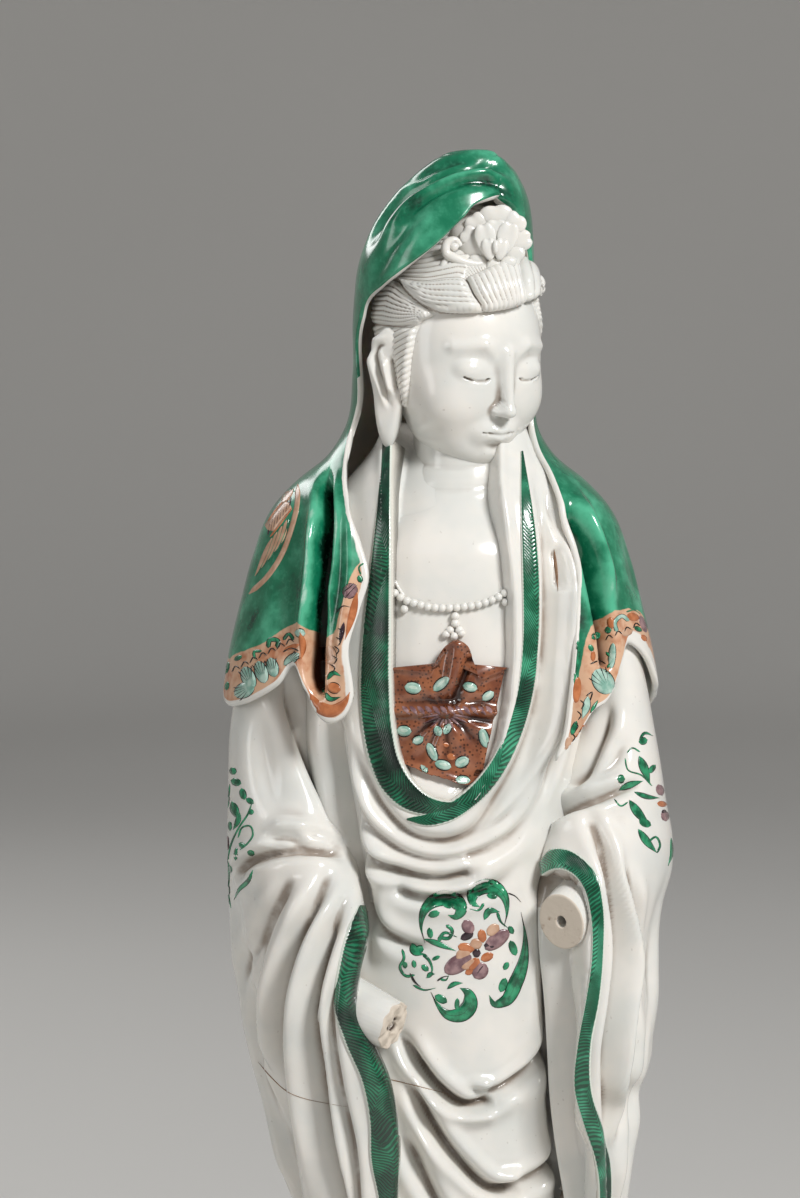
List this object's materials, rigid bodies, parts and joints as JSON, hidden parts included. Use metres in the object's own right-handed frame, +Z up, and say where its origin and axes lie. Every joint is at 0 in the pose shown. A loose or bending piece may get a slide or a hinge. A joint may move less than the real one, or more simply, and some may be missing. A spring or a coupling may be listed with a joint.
{
  "type": "guanyin figure",
  "caption": "Standing robed figure in white glazed porcelain with a hood and short cape, long hanging sleeves, empty wrist sockets and a low oval base.",
  "frame": {"origin": "centre of the base's underside, on the surface that the figure stands on", "axes": "+Z up, the figure faces -Y with its head turned towards +X, +X to the viewer's right"},
  "size_m": [0.174, 0.14, 0.5585],
  "materials": {
    "porcelain": "gloss white glaze with enamel painting"
  },
  "bodies": {
    "root": {"guanyin_figure": "porcelain"}
  },
  "joints": []
}
